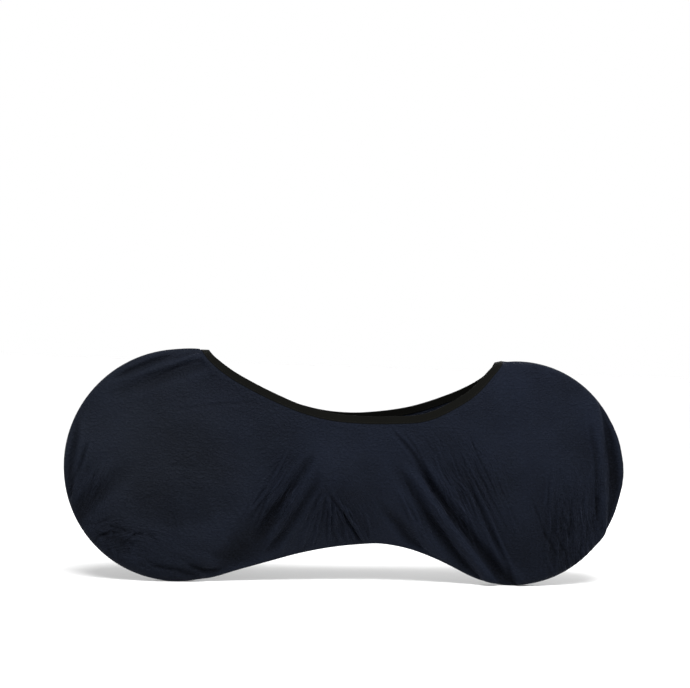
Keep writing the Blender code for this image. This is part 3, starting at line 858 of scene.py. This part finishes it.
def bunch_folds(bunch, random):
    """A bunch's wrinkles, as rows of the folds' table."""
    x0, z0, x1, z1, spread0, spread1, width, depth, count = bunch
    length = math.hypot(x1 - x0, z1 - z0)
    side_x, side_z = (z1 - z0) / length, -(x1 - x0) / length
    for share in (np.arange(count) + random.uniform(*BUNCH_PLACE, count)) / count - 0.5:
        middle, reach = random.uniform(*BUNCH_MIDDLE), random.uniform(*BUNCH_REACH)
        ends = []
        for t in (middle - reach, middle + reach):
            swerve = random.normal(0, BUNCH_SWERVE)
            off = (share + swerve) * (spread0 + (spread1 - spread0) * t)
            ends += [x0 + t * (x1 - x0) + off * side_x, z0 + t * (z1 - z0) + off * side_z]
        deep = depth * random.uniform(*BUNCH_DEPTH)
        wide = width * random.uniform(*BUNCH_WIDTH)
        yield (*ends, random.normal(0, BUNCH_BOW), wide, wide, deep, deep)


def swell_height(x, z, random):
    """The soft unevenness: waves in many directions."""
    height = np.zeros_like(x)
    for wavelength, tall, count in SWELLS:
        for heading, phase in random.uniform(0, 2 * np.pi, (count, 2)):
            along = x * np.cos(heading) + z * np.sin(heading)
            height += tall / math.sqrt(count) * np.sin(2 * np.pi * along / wavelength + phase)
    return height


def pucker_height(run, random):
    """Small gathers along a sewn edge, run being the distance along it."""
    phases = random.uniform(0, 2 * np.pi, len(PUCKER_PITCHES))
    pairs = zip(PUCKER_PITCHES, phases)
    return sum(np.sin(2 * np.pi * run / pitch + phase) for pitch, phase in pairs) / len(phases)


def puckers(points, row, height, random):
    """The gathers beside one row of the grid, at each point."""
    run = run_along(points[:, row], 3)[:, None]
    near = np.exp(-((from_edge(points, row) / PUCKER_REACH - 1) ** 2) * PUCKER_FADE)
    return height * pucker_height(run, random) * near


def surface_normals(points, side):
    """The grid's normals, pointing out of the cover."""
    normal = unit(np.cross(np.gradient(points, axis=0), np.gradient(points, axis=1)) + 1e-12)
    return normal * np.sign(np.median(normal[..., 1]) * out_sign(side))


def from_edge(points, row):
    """How far each point is from a row of the grid, along its station."""
    step = np.linalg.norm(np.diff(points, axis=1), axis=2)
    run = np.concatenate([0 * step[:, :1], np.cumsum(step, axis=1)], axis=1)
    return np.abs(run - run[:, row][:, None])


def fold_heights(points, places, reach, side):
    """The height of all the folds, wrinkles, puckers and unevenness at each point of the panel."""
    sizes = cover_sizes()
    random = np.random.default_rng(SEED + SIDES.index(side))
    x, z = points[..., 0], points[..., 2]
    folds = np.zeros_like(x)
    for fold in from_mm(FOLDS[side], 9):
        folds += sizes.fold_depth * fold_height(x, z, fold, random)
    for bunch in from_mm(BUNCHES[side], 8):
        for fold in bunch_folds(bunch, random):
            folds += sizes.wrinkle_depth * fold_height(x, z, fold, random)
    foot = int(np.searchsorted(places, FOOT_ROW))
    to_seam, to_band = from_edge(points, 0), from_edge(points, foot)
    open_cloth = smoothstep(*SEAM_CLEAR, to_seam) * smoothstep(*SEAM_CLEAR, to_band)
    edge_limit = EDGE_HEIGHT + EDGE_SLOPE * np.minimum(to_seam, to_band)
    height = edge_limit * np.tanh((folds + swell_height(x, z, random)) / edge_limit) * open_cloth
    height += puckers(points, 0, PUCKER_HEIGHT, random)
    height += puckers(points, foot, BAND_PUCKER_HEIGHT, random)
    height[:, foot:] = 0
    return height * reach[:, None]


def fan_field(x, z, fans):
    """The strongest fan at each point: across its wrinkles, along them, and its share."""
    field = np.zeros((*x.shape, 3))
    for form, from_x, from_z, at_x, at_z, reach_x, reach_z, strength in fans:
        share = strength * np.exp(-(((x - at_x) / reach_x) ** 2) - ((z - at_z) / reach_z) ** 2)
        away = math.hypot(at_x - from_x, at_z - from_z)
        heading = math.atan2(at_z - from_z, at_x - from_x)
        along = np.hypot(x - from_x, z - from_z)
        turn = np.arctan2(z - from_z, x - from_x) - heading
        turn = (turn + np.pi) % (2 * np.pi) - np.pi
        lines = turn * away, along - away
        across, lengthwise = lines if form == RAYS else lines[::-1]
        here = share > field[..., 2]
        field[here] = np.stack([across, lengthwise, share], axis=-1)[here]
    return field


def cut_pattern(points):
    """The panel laid flat: from the opening outwards, each station keeps its length."""
    flat = points[..., [0, 2]].copy()
    spread = unit(flat[:, 0] - flat[:, -1] + 1e-9)
    for row in range(points.shape[1] - 2, -1, -1):
        step = np.linalg.norm(points[:, row] - points[:, row + 1], axis=1, keepdims=True)
        heading = unit(points[:, row, ::2] - points[:, row + 1, ::2] + 1e-4 * spread)
        flat[:, row] = flat[:, row + 1] + heading * step
    return flat


def turned_in(points, seam, side):
    """Adds the seam allowance: the cloth's edge turned in, and pressed to one side."""
    root, inward, reach = seam
    sizes = cover_sizes()
    half = out_sign(side) * (sizes.cloth / 2 + SEAM_GAP / 2)
    rows = [root + inward * reach[:, None] * sizes.allowance * share for share in ALLOWANCE_ROWS]
    edge = np.stack(rows, axis=1)
    edge[..., 1] = half + SEAM_LEAN * reach[:, None] * np.square(ALLOWANCE_ROWS)
    edge[[0, -1]] = points[[0, -1], :1]
    points[..., 1] = out_sign(side) * np.maximum(out_sign(side) * points[..., 1], abs(half))
    return np.concatenate([edge, points], axis=1)


def linked(name, data):
    piece = bpy.data.objects.new(name, data)
    bpy.context.scene.collection.objects.link(piece)
    return piece


def piece_from(name, shape, material):
    """A smooth object of one material from a bmesh, which is freed."""
    mesh = bpy.data.meshes.new(name)
    shape.to_mesh(mesh)
    shape.free()
    mesh.materials.append(material)
    mesh.shade_smooth()
    return linked(name, mesh)


def grid_object(name, points, material, flat, fields=None):
    """A mesh of a grid of points with its pattern and fields, and with points that meet merged."""
    columns, rows = points.shape[:2]
    grid = bmesh.new()
    pattern = grid.loops.layers.uv.new("cut")
    bmesh.ops.create_grid(grid, x_segments=columns - 1, y_segments=rows - 1, size=1)
    layers = {key: grid.verts.layers.float_vector.new(key) for key in fields or {}}
    step = np.array([2 / (columns - 1), 2 / (rows - 1)])
    grid.verts.ensure_lookup_table()
    where = {}
    for vertex in grid.verts:
        column, row = np.rint((np.array(vertex.co.xy) + 1) / step).astype(int)
        where[vertex.index] = column, row
        vertex.co = points[column, row]
        for key, layer in layers.items():
            vertex[layer] = fields[key][column, row]
    for face in grid.faces:
        for loop in face.loops:
            loop[pattern].uv = flat[where[loop.vert.index]]
    bmesh.ops.remove_doubles(grid, verts=grid.verts[:], dist=MERGE_DISTANCE)
    bmesh.ops.recalc_face_normals(grid, faces=grid.faces[:])
    return piece_from(name, grid, material)


class Wire:
    """A shader socket that adds, subtracts and multiplies as a number, a vector or a colour."""

    def __init__(self, graph, socket):
        self.graph = graph
        self.socket = socket

    def combined(self, operation, first, second):
        kinds = {"VALUE": "ShaderNodeMath", "VECTOR": "ShaderNodeVectorMath"}
        if self.socket.type in kinds:
            kind = kinds[self.socket.type]
            return self.graph.node(kind, {"operation": operation}, {0: first, 1: second})
        return self.graph.node(
            "ShaderNodeMix",
            {"data_type": "RGBA", "blend_type": operation},
            {"Factor": 1.0, 6: first, 7: second},
            output=2,
        )

    def __add__(self, other):
        return self.combined("ADD", self, other)

    def __radd__(self, other):
        return self.combined("ADD", other, self)

    def __sub__(self, other):
        return self.combined("SUBTRACT", self, other)

    def __rsub__(self, other):
        return self.combined("SUBTRACT", other, self)

    def __mul__(self, other):
        return self.combined("MULTIPLY", self, other)

    def __rmul__(self, other):
        return self.combined("MULTIPLY", other, self)


class Finish:
    """A material with one Principled shader, whose nodes are made one by one."""

    def __init__(self, name, **constants):
        self.material = bpy.data.materials.new(name)
        self.material.use_nodes = True
        self.tree = self.material.node_tree
        self.shader = self.tree.nodes["Principled BSDF"]
        for key, value in constants.items():
            self.shader.inputs[key.replace("_", " ")].default_value = value

    def put(self, socket, value):
        if isinstance(value, Wire):
            self.tree.links.new(value.socket, socket)
        else:
            socket.default_value = value

    def node(self, kind, settings=None, inputs=None, output=0):
        made = self.tree.nodes.new(kind)
        for key, value in (settings or {}).items():
            setattr(made, key, value)
        for key, value in (inputs or {}).items():
            self.put(made.inputs[key], value)
        return Wire(self, made.outputs[output])

    def pattern(self, across=1.0, along=1.0):
        """The piece's own flat pattern, in metres, scaled across and along."""
        return self.node("ShaderNodeUVMap", {"uv_map": "cut"}) * (across, along, 1.0)

    def field(self, key):
        """One of the piece's own fields, which holds three values."""
        return self.node("ShaderNodeAttribute", {"attribute_name": key}, output=1)

    def output(self, wire, index):
        """Another output of the node that a wire comes from."""
        return Wire(self, wire.socket.node.outputs[index])

    def fan_wrinkles(self, key):
        """Fine sharp wrinkles that run along a fan."""
        field = self.field(key)
        share = self.output(self.node("ShaderNodeSeparateXYZ", inputs={0: field}), 2)
        clouds = self.output(self.noise(self.pattern(), FAN_SWAY_SCALE), 1)
        sway = self.node(
            "ShaderNodeVectorMath", {"operation": "SUBTRACT"}, {0: clouds, 1: (0.5, 0.5, 0.5)}
        )
        swayed = field + sway * FAN_SWAY
        return self.creased(self.noise(swayed * FAN_SCALES, 1.0, detail=1.5)) * share

    def creased(self, value, sharpness=3.0):
        """Sharp lines along the middle of a noise's range."""
        off = self.node("ShaderNodeMath", {"operation": "ABSOLUTE"}, {0: value * 2.0 - 1.0})
        return self.node("ShaderNodeMath", {"operation": "POWER"}, {0: 1.0 - off, 1: sharpness})

    def noise(self, place, scale, detail=2.0, roughness=0.5):
        return self.node(
            "ShaderNodeTexNoise",
            inputs={"Vector": place, "Scale": scale, "Detail": detail, "Roughness": roughness},
        )

    def ridges(self, place, pitch, direction):
        """A wave of this pitch in metres, from 0 to 1."""
        return self.node(
            "ShaderNodeTexWave",
            {"wave_type": "BANDS", "bands_direction": direction},
            {"Vector": place, "Scale": math.pi / (10 * pitch)},
            output=1,
        )

    def spread(self, value, low, high):
        """A value's low to high made 0 to 1."""
        return self.node(
            "ShaderNodeMapRange", inputs={"Value": value, "From Min": low, "From Max": high}
        )

    def mix(self, share, first, second):
        return self.node(
            "ShaderNodeMix", {"data_type": "RGBA"}, {"Factor": share, 6: first, 7: second}, output=2
        )

    def bump(self, height, distance, strength=1.0, normal=None):
        inputs = {"Height": height, "Distance": distance, "Strength": strength}
        if normal is not None:
            inputs["Normal"] = normal
        return self.node("ShaderNodeBump", inputs=inputs)

    def finish(self, **wires):
        for key, value in wires.items():
            self.put(self.shader.inputs[key.replace("_", " ")], value)
        return self.material


def opaque(colour):
    return (*colour, 1.0)


def lit(colour, share):
    return opaque([share * part for part in colour])


def knit_finish():
    """Dark navy stretch knit: columns of loops, mottle, greyer patches and fans of wrinkles, with
    painted shade in its folds, wrinkles and low places and painted light on its ridges.
    """
    sizes, colours = cover_sizes(), cover_colours()
    knit = Finish(
        "knit", Sheen_Weight=0.03, Sheen_Roughness=0.4, Sheen_Tint=(0.55, 0.65, 1.0, 1.0),
        Specular_IOR_Level=0.04,
    )
    flat = knit.pattern()
    patches = knit.noise(flat, PATCH_SCALE, detail=3.0)
    mottle = knit.noise(knit.pattern(along=MOTTLE_SQUASH), MOTTLE_SCALE, detail=4.0, roughness=0.7)
    streaks = knit.noise(knit.pattern(*STREAK_SCALES), 1.0, detail=3.0, roughness=0.6)
    wrinkles = knit.noise(
        knit.pattern(along=WRINKLE_SQUASH), WRINKLE_SCALE, detail=3.0, roughness=0.55
    )
    crumple = knit.creased(wrinkles, CRUMPLE_SHARPNESS)
    # Creased lines that carry painted shade along the wrinkles.
    lines = knit.creased(wrinkles, LINE_SHARPNESS)
    wales = knit.ridges(flat, sizes.wale, "X")
    courses = knit.ridges(flat, sizes.wale * COURSE_TO_WALE, "Y")
    # The tone field holds the painted shade in the folds' troughs and painted light on their
    # ridges, the faded patch, and the painted shade at the listed places.
    tone = knit.node("ShaderNodeSeparateXYZ", inputs={0: knit.field("tone")})
    # The faded patch, and the painted shade and light at the listed places.
    faded, deep = knit.output(tone, 1), knit.output(tone, 2)
    share = faded * FADE_PLACE + patches * FADE_PATCH
    share = share + mottle * FADE_MOTTLE + streaks * FADE_STREAK - FADE_FROM
    colour = knit.mix(share, opaque(colours.knit), opaque(colours.knit_faded))
    fans = [knit.fan_wrinkles(key) for key in FAN_FIELDS]
    # The cloth's painted shade and light from the folds, with the real mottle.
    painted_shade_and_mottle = knit.spread(tone, -1.0, 1.0) * PAINTED_FOLD_SHADE + mottle * SHADE_MOTTLE
    # Painted shade at the listed places and along the fans' wrinkles, then along the creased lines
    # where the patches are.
    painted_shade_and_mottle = painted_shade_and_mottle - deep * PAINTED_PLACE_SHADE - SHADE_FROM - (fans[0] + fans[1]) * PAINTED_FAN_SHADE
    painted_shade_and_mottle = painted_shade_and_mottle - lines * patches * PAINTED_LINE_SHADE + LINE_MEAN
    colour = colour * knit.node("ShaderNodeCombineXYZ", inputs={0: painted_shade_and_mottle, 1: painted_shade_and_mottle, 2: painted_shade_and_mottle})
    rough = ROUGH_KNIT + patches * ROUGH_PATCH + mottle * ROUGH_MOTTLE
    normal = knit.bump((1.0 - crumple) * (patches + LEAST_CRUMPLE), *CRUMPLE_BUMP)
    normal = knit.bump(streaks, *STREAK_BUMP, normal)
    normal = knit.bump(mottle, *MOTTLE_BUMP, normal)
    for fan in fans:
        normal = knit.bump(1.0 - fan, *FAN_BUMP, normal)
    normal = knit.bump(wales * courses, *LOOP_BUMP, normal)
    return knit.finish(Base_Color=colour, Roughness=rough, Normal=normal)


def elastic_finish():
    """Matte black elastic: fine ribs across it and lint in them."""
    colours = cover_colours()
    band = Finish(
        "elastic", Sheen_Weight=0.02, Sheen_Roughness=0.5, Sheen_Tint=(0.8, 0.8, 0.75, 1.0),
        Specular_IOR_Level=0.04,
    )
    flat = band.pattern()
    across, along = (band.ridges(flat, pitch, axis) for pitch, axis in zip(RIB_PITCHES, "XY"))
    lint = band.noise(flat, LINT_SCALE, detail=3.0, roughness=0.7)
    wear = band.noise(flat, WEAR_SCALE, detail=2.0)
    share = across * LIGHT_RIB + lint * LIGHT_LINT + wear * LIGHT_WEAR
    colour = band.mix(share, opaque(colours.elastic), lit(colours.elastic, ELASTIC_LIGHTEST))
    relief = across * HIGH_ACROSS + along * HIGH_ALONG + lint * HIGH_LINT
    rough = ROUGH_ELASTIC + lint * ROUGH_LINT
    return band.finish(Base_Color=colour, Roughness=rough, Normal=band.bump(relief, *RIB_BUMP))


def thread_finish():
    """Sewing thread with the twist of its plies."""
    colours = cover_colours()
    thread = Finish("thread", Sheen_Weight=0.03, Specular_IOR_Level=0.15)
    place = thread.node("ShaderNodeTexCoord", output=3)
    plies = thread.ridges(place, PLY_PITCH, "DIAGONAL")
    colour = thread.mix(plies, opaque(colours.thread), lit(colours.thread, THREAD_LIGHTEST))
    rough = ROUGH_THREAD + plies * ROUGH_PLY
    normal = thread.bump(plies, PLY_DEPTH)
    return thread.finish(Base_Color=colour, Roughness=rough, Normal=normal)


def floor_finish():
    """A plain pale floor with the faintest mottle."""
    floor = Finish("floor", Specular_IOR_Level=0.2)
    place = floor.node("ShaderNodeTexCoord", output=3)
    tone = floor.noise(place, FLOOR_SCALE, detail=2.0)
    pale = cover_colours().floor
    colour = floor.mix(tone, opaque(pale), lit(pale, FLOOR_DARKEST))
    return floor.finish(Base_Color=colour, Roughness=ROUGH_FLOOR + tone * ROUGH_TONE)


def make_panel(side, material):
    """A side panel: taut, then folded, its seam edge turned in, and given its thickness."""
    sizes = cover_sizes()
    points, places, seam = taut_panel(side)
    height = fold_heights(points, places, seam[2], side)
    points = points + surface_normals(points, side) * height[..., None]
    points = turned_in(points, seam, side)
    flat = cut_pattern(points)
    x, z = points[..., 0], points[..., 2]
    at_x, at_z, reach = FADED_PLACES[side]
    # Painted shade in the folds' troughs and painted light on their ridges, from the folds'
    # heights.
    turned = 0 * height[:, : len(ALLOWANCE_ROWS)]
    fold = np.concatenate([turned, height], axis=1) / PAINTED_FOLD_SHADE_DEPTH
    fold = np.sign(fold) * np.abs(fold) ** PAINTED_FOLD_SHADE_POWER
    faded = np.exp(-((x - at_x) ** 2 + (z - at_z) ** 2) / reach**2)
    # Painted shade low round the lobes and at their rims, and painted light where the share is
    # below zero.
    deep = sum(
        share * np.exp(-((x - painted_shade_x) ** 2 + (z - painted_shade_z) ** 2) / painted_shade_reach**2)
        for painted_shade_x, painted_shade_z, painted_shade_reach, share in PAINTED_SHADE_PLACES
    )
    fields = {"tone": np.stack([np.clip(fold, -1, PAINTED_RIDGE_LIGHT), faded, deep], axis=-1)}
    for key, fans in zip(FAN_FIELDS, FANS[side]):
        fields[key] = fan_field(x, z, fans)
    panel = grid_object(f"knit_panel_{side}", points, material, flat, fields)
    inside = panel.vertex_groups.new(name="inside")
    wall = panel.modifiers.new("cloth", "SOLIDIFY")
    wall.thickness = sizes.cloth
    wall.offset = 0
    wall.shell_vertex_group = inside.name
    coarser = panel.modifiers.new("coarser_inside", "DECIMATE")
    coarser.ratio = INSIDE_RATIO
    coarser.vertex_group = inside.name
    cut = flat / sizes.cut_stretch
    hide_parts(f"side_panel_{side}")
    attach(panel, "root")


def band_section():
    """The folded elastic's section as rows of depth below the edge and distance out."""
    width = cover_sizes().band_width
    groove = CLOTH_IN_BAND / 2 + GAP
    face = groove + BAND_WALL
    share = np.linspace(1, 0, FACE_POINTS)
    depth = face + (width - face) * share
    ribs = np.cos(2 * np.pi * RIBS * share)
    relief = RIB_DEPTH * ribs * np.minimum(1, RIB_FADE * share * (1 - share))
    outer = np.stack([depth, face + relief], axis=1)
    turn = np.linspace(0, np.pi, ROUND_STEPS + 2)[1:-1]
    fold = np.stack([face - face * np.sin(turn), face * np.cos(turn)], axis=1)
    inner = outer[::-1] * (1, -1)
    lip = BAND_WALL * HEM_ROUNDING
    top = BAND_WALL + GAP
    hem_in = [(width + lip, -face + HEM_SLOPE * lip), (width, -groove)]
    channel = [(top, -groove), (top, groove)]
    hem_out = [(width, groove), (width + lip, face - HEM_SLOPE * lip)]
    return np.array([*outer, *fold, *inner, *hem_in, *channel, *hem_out, outer[0]])


def band_frames(stations):
    """The opening's frames all the way round: the left side, then the right side backwards."""
    left = opening_frames("left", stations)
    back = [part[::-1][1:] for part in opening_frames("right", stations)]
    return [np.vstack(pair) for pair in zip(left, back)]


def make_band(material):
    """The elastic folded over the cloth's edge, with shallow ribs and a slight waviness."""
    edge, down, out = (part[:, None] for part in band_frames(BAND_STATIONS))
    section = band_section()
    run = run_along(edge[:, 0], 3)
    random = np.random.default_rng(BAND_SEED)
    wave = pucker_height(run, random)[:, None, None] * BAND_WAVE
    free = np.clip(section[:, :1] / cover_sizes().band_width, 0, 1)
    points = edge + down * section[:, :1] + out * (section[:, 1:] + wave * free)
    around = run_along(section, 2)
    flat = np.stack(np.broadcast_arrays(run[:, None], around[None, :]), axis=-1)
    band = grid_object("opening_elastic", points, material, flat)
    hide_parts("opening_band")
    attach(band, "root")


def stitch_shape():
    """One stitch, of unit length and thickness, as a mesh: a bead of thread with pointed ends."""
    bead = bmesh.new()
    turn = Matrix.Rotation(math.radians(90), 4, "Y")
    bmesh.ops.create_uvsphere(bead, u_segments=6, v_segments=5, radius=0.5, matrix=turn)
    shape = bpy.data.meshes.new("stitch")
    bead.to_mesh(shape)
    bead.free()
    return shape


def make_stitches(material):
    """The stitches that hold the elastic: a row on its outside and one on its inside."""
    sizes = cover_sizes()
    edge, down, out = band_frames(BAND_STATIONS)
    face = CLOTH_IN_BAND / 2 + GAP + BAND_WALL
    line = edge + down * (sizes.band_width - STITCHES_UP)
    run = run_along(line, 3)
    count = int(run[-1] / sizes.stitch)
    middles = (np.arange(count) + 0.5) / count * run[-1]
    shape = stitch_shape()
    bead = np.array([vertex.co for vertex in shape.vertices])
    mesh = bmesh.new()
    places = []
    for sign in (1, -1):
        path = line + out * sign * (face + sizes.thread * THREAD_RISE)

        def at(distance, rows):
            return np.stack([np.interp(distance, run, column) for column in rows.T], axis=1)

        along = unit(at(middles + sizes.stitch / 2, path) - at(middles - sizes.stitch / 2, path))
        away = sign * at(middles, out)
        across = unit(np.cross(away, along))
        lengths = sizes.stitch * STITCH_SHARE, sizes.thread, sizes.thread
        directions = along, across, np.cross(along, across)
        stitches = at(middles, path)[:, None]
        for axis, (size, direction) in enumerate(zip(lengths, directions)):
            stitches = stitches + size * bead[None, :, axis, None] * direction[:, None]
        places.append(stitches.reshape(-1, 3))
        for _ in range(count):
            mesh.from_mesh(shape)
    for vertex, place in zip(mesh.verts, np.vstack(places)):
        vertex.co = place
    bpy.data.meshes.remove(shape)
    stitches = piece_from("elastic_stitches", mesh, material)
    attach(stitches, "root")


def make_camera():
    turn, tilt, roll = (math.radians(a) for a in (CAMERA_TURN, CAMERA_TILT, CAMERA_ROLL))
    ahead = Vector(
        (math.sin(turn) * math.cos(tilt), math.cos(turn) * math.cos(tilt), math.sin(tilt))
    )
    right = Vector((math.cos(turn), -math.sin(turn), 0))
    up = right.cross(ahead)
    across = right * math.cos(roll) + up * math.sin(roll)
    above = up * math.cos(roll) - right * math.sin(roll)
    data = bpy.data.cameras.new("camera")
    data.lens = FOCAL_PIXELS / PICTURE_WIDTH * data.sensor_width  # both are in millimetres
    data.clip_end = CAMERA_REACH
    camera = linked("camera", data)
    camera.matrix_world = Matrix.Translation(CAMERA_PLACE) @ Matrix(
        (across, above, -ahead)
    ).transposed().to_4x4()
    bpy.context.scene.camera = camera


def make_light(name, kind, place, aim, settings):
    data = bpy.data.lights.new(name, kind)
    for key, value in settings.items():
        setattr(data, key, value)
    light = linked(name, data)
    light.location = place
    light.rotation_euler = (Vector(aim) - Vector(place)).to_track_quat("-Z", "Y").to_euler()


def make_floor():
    mesh = bmesh.new()
    bmesh.ops.create_grid(mesh, x_segments=FLOOR_PARTS, y_segments=FLOOR_PARTS, size=FLOOR_HALF)
    floor = piece_from("floor", mesh, floor_finish())


def make_world():
    """Soft light from all round, brightest at the horizon like a studio's pale walls."""
    world = bpy.data.worlds.new("studio")
    world.use_nodes = True
    nodes, links = world.node_tree.nodes, world.node_tree.links
    place = nodes.new("ShaderNodeTexCoord")
    height = nodes.new("ShaderNodeSeparateXYZ")
    links.new(place.outputs["Generated"], height.inputs[0])
    fade = nodes.new("ShaderNodeMapRange")
    fade.interpolation_type = "SMOOTHSTEP"
    links.new(height.outputs["Z"], fade.inputs["Value"])
    for key, value in zip(("From Min", "From Max", "To Min", "To Max"), (*WALL_TOP, *WORLD_LIGHT)):
        fade.inputs[key].default_value = value
    sky = nodes["Background"]
    sky.inputs["Color"].default_value = (1.0, 1.0, 1.0, 1.0)
    links.new(fade.outputs["Result"], sky.inputs["Strength"])
    bpy.context.scene.world = world


class COVER_OT_side_panels(bpy.types.Operator):
    """Makes the two knit panels with their folds"""

    bl_idname = "cover.side_panels"
    bl_label = "Side panels"

    def execute(self, context):
        material = knit_finish()
        for side in SIDES:
            make_panel(side, material)
        return {"FINISHED"}


class COVER_OT_opening_elastic(bpy.types.Operator):
    """Makes the elastic folded over the opening's edge"""

    bl_idname = "cover.opening_elastic"
    bl_label = "Opening elastic"

    def execute(self, context):
        make_band(elastic_finish())
        return {"FINISHED"}


class COVER_OT_elastic_stitches(bpy.types.Operator):
    """Sews the elastic on, with a row of stitches on its outside and one on its inside"""

    bl_idname = "cover.elastic_stitches"
    bl_label = "Elastic stitches"

    def execute(self, context):
        make_stitches(thread_finish())
        return {"FINISHED"}


class COVER_OT_stage(bpy.types.Operator):
    """Lays the floor and sets up the lights and the camera"""

    bl_idname = "cover.stage"
    bl_label = "Stage"

    def execute(self, context):
        make_floor()
        make_world()
        for name, row in LIGHTS.items():
            make_light(name, *row)
        make_camera()
        context.scene.view_settings.view_transform = "Standard"
        return {"FINISHED"}


class COVER_PT_sidebar(bpy.types.Panel):
    """Lists the cover's pieces, sizes and colours"""

    bl_label = "Bicycle cover"
    bl_idname = "COVER_PT_sidebar"
    bl_space_type = "VIEW_3D"
    bl_region_type = "UI"
    bl_category = "Bicycle cover"

    def draw(self, context):
        for group in (context.scene.cover_sizes, context.scene.cover_colours):
            for key in group.__annotations__:
                self.layout.prop(group, key)
        for maker in OPERATORS:
            self.layout.operator(maker.bl_idname)


OPERATORS = (
    COVER_OT_side_panels,
    COVER_OT_opening_elastic,
    COVER_OT_elastic_stitches,
    COVER_OT_stage,
)
CLASSES = (CoverSizes, CoverColours, *OPERATORS, COVER_PT_sidebar)


def register():
    for item in CLASSES:
        bpy.utils.register_class(item)
    bpy.types.Scene.cover_sizes = PointerProperty(type=CoverSizes)
    bpy.types.Scene.cover_colours = PointerProperty(type=CoverColours)


def unregister():
    del bpy.types.Scene.cover_colours
    del bpy.types.Scene.cover_sizes
    for item in reversed(CLASSES):
        bpy.utils.unregister_class(item)


def main():
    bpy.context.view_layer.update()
    for item in [o for o in bpy.data.objects if o.name in ("Cube", "Light", "Camera")]:
        bpy.data.objects.remove(item, do_unlink=True)
    register()
    bpy.ops.cover.side_panels()
    bpy.ops.cover.opening_elastic()
    bpy.ops.cover.elastic_stitches()
    bpy.ops.cover.stage()


if __name__ == "__main__":
    main()
